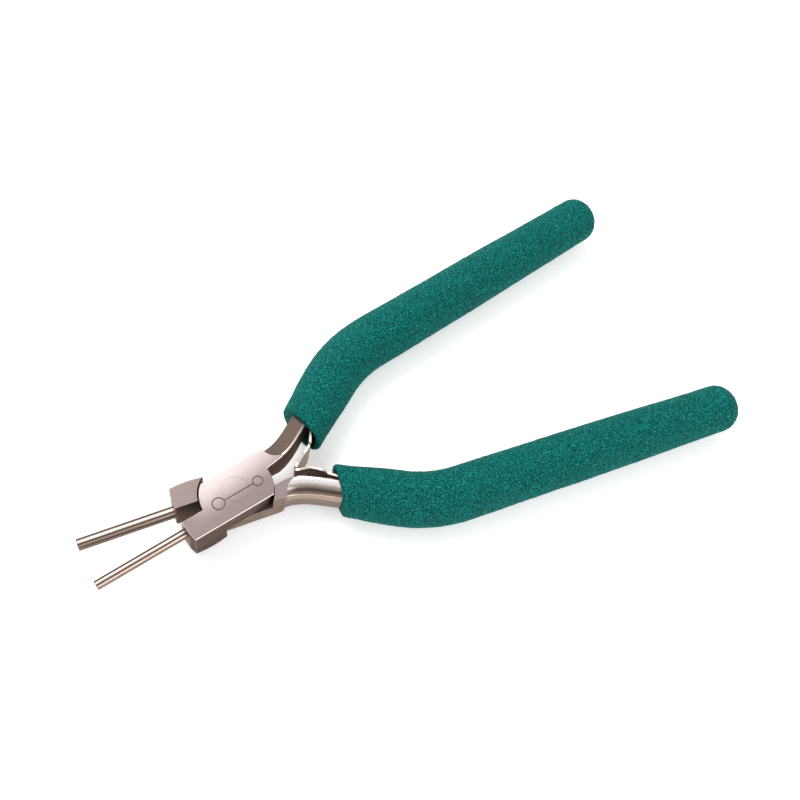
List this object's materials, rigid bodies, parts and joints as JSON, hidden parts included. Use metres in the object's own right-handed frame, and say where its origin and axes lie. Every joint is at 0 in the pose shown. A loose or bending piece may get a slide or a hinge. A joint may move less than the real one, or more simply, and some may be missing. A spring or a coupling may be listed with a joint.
{
  "type": "bail making pliers",
  "caption": "Hand pliers with round forming mandrels of unequal size, a flush lap joint, sprung handles and soft foam sleeves, for bending wire loops and bails.",
  "frame": {"origin": "on the pivot axis, in the ground back face", "axes": "+X from the pivot towards the mandrel tips, +Y towards the front half's jaw, +Z out of the front face, along the pivot axis"},
  "size_m": [0.1443, 0.0682, 0.012],
  "materials": {
    "half_steel": "satin ground faces, forged grey-brown tangs, polished mandrels",
    "rivet_steel": "ground flush",
    "spring_steel": "rolled strip with bright edges",
    "spring_rivet_steel": "plain",
    "foam": "matt textured foam, speckled teal green"
  },
  "bodies": {
    "front_body": {"front_half": "half_steel", "pivot_rivet": "rivet_steel", "spring_rivet_front": "spring_rivet_steel", "grip_front": "foam"},
    "back_body": {"back_half": "half_steel", "spring_rivet_back": "spring_rivet_steel", "grip_back": "foam"},
    "front_spring": {"leaf_spring_front": "spring_steel"},
    "back_spring": {"leaf_spring_back": "spring_steel"}
  },
  "joints": [
    {"name": "pivot", "type": "hinge", "parent": "front_body", "child": "back_body", "pos_m": [0, 0, 0.0045], "axis": [0, 0, 1], "range_deg": [0, 12.2], "stiffness_Nm_per_rad": 1},
    {"name": "front_spring_flex", "type": "hinge", "parent": "front_body", "child": "front_spring", "pos_m": [-0.02485, -0.00981, 0.0045], "axis": [0, 0, 1], "range_deg": [-7.11, 0.03]},
    {"name": "back_spring_flex", "type": "hinge", "parent": "back_body", "child": "back_spring", "pos_m": [-0.02485, 0.00981, 0.0045], "axis": [0, 0, 1], "range_deg": [-0.03, 7.11]}
  ],
  "couplings": [
    {"joint": "front_spring_flex", "follows": "pivot", "ratio": -0.58},
    {"joint": "back_spring_flex", "follows": "pivot", "ratio": 0.58}
  ]
}
